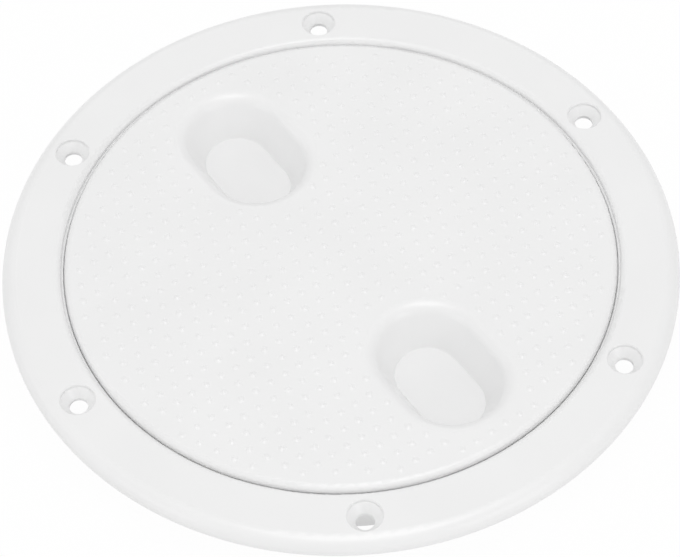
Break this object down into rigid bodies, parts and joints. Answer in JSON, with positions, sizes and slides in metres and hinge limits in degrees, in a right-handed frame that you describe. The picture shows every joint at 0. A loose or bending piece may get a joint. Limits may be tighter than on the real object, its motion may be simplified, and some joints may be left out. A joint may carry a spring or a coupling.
{
  "type": "deck inspection plate",
  "caption": "Round screw-out deck inspection plate: a flange ring with countersunk screw holes and a threaded collar, an O-ring, and a flush cover with two finger recesses.",
  "frame": {"origin": "centre of the flange's underside, on the surface of the deck", "axes": "+Z out of the deck along the plate's axis, +X along the two finger recesses with the cover screwed home, 1.3 degrees from midway between two screw holes"},
  "size_m": [0.2, 0.2, 0.0227],
  "materials": {
    "ring_plastic": "white moulded ABS, satin gloss",
    "cover_plastic": "white moulded ABS, satin gloss, with raised anti-slip dots",
    "seal_rubber": "black moulded nitrile rubber"
  },
  "bodies": {
    "ring": {"deck_ring": "ring_plastic"},
    "seal": {"o_ring": "seal_rubber"},
    "cover": {"screw_cover": "cover_plastic"}
  },
  "joints": [
    {"name": "cover_rise", "type": "slide", "parent": "ring", "child": "seal", "axis": [0, 0, 1], "range_m": [0, 0.01776]},
    {"name": "cover_turn", "type": "hinge", "parent": "seal", "child": "cover", "pos_m": [0, 0, 0], "axis": [0, 0, 1], "range_deg": [0, 1420]}
  ],
  "couplings": [
    {"joint": "cover_rise", "follows": "cover_turn", "m_per_rad": 0.0007162}
  ]
}
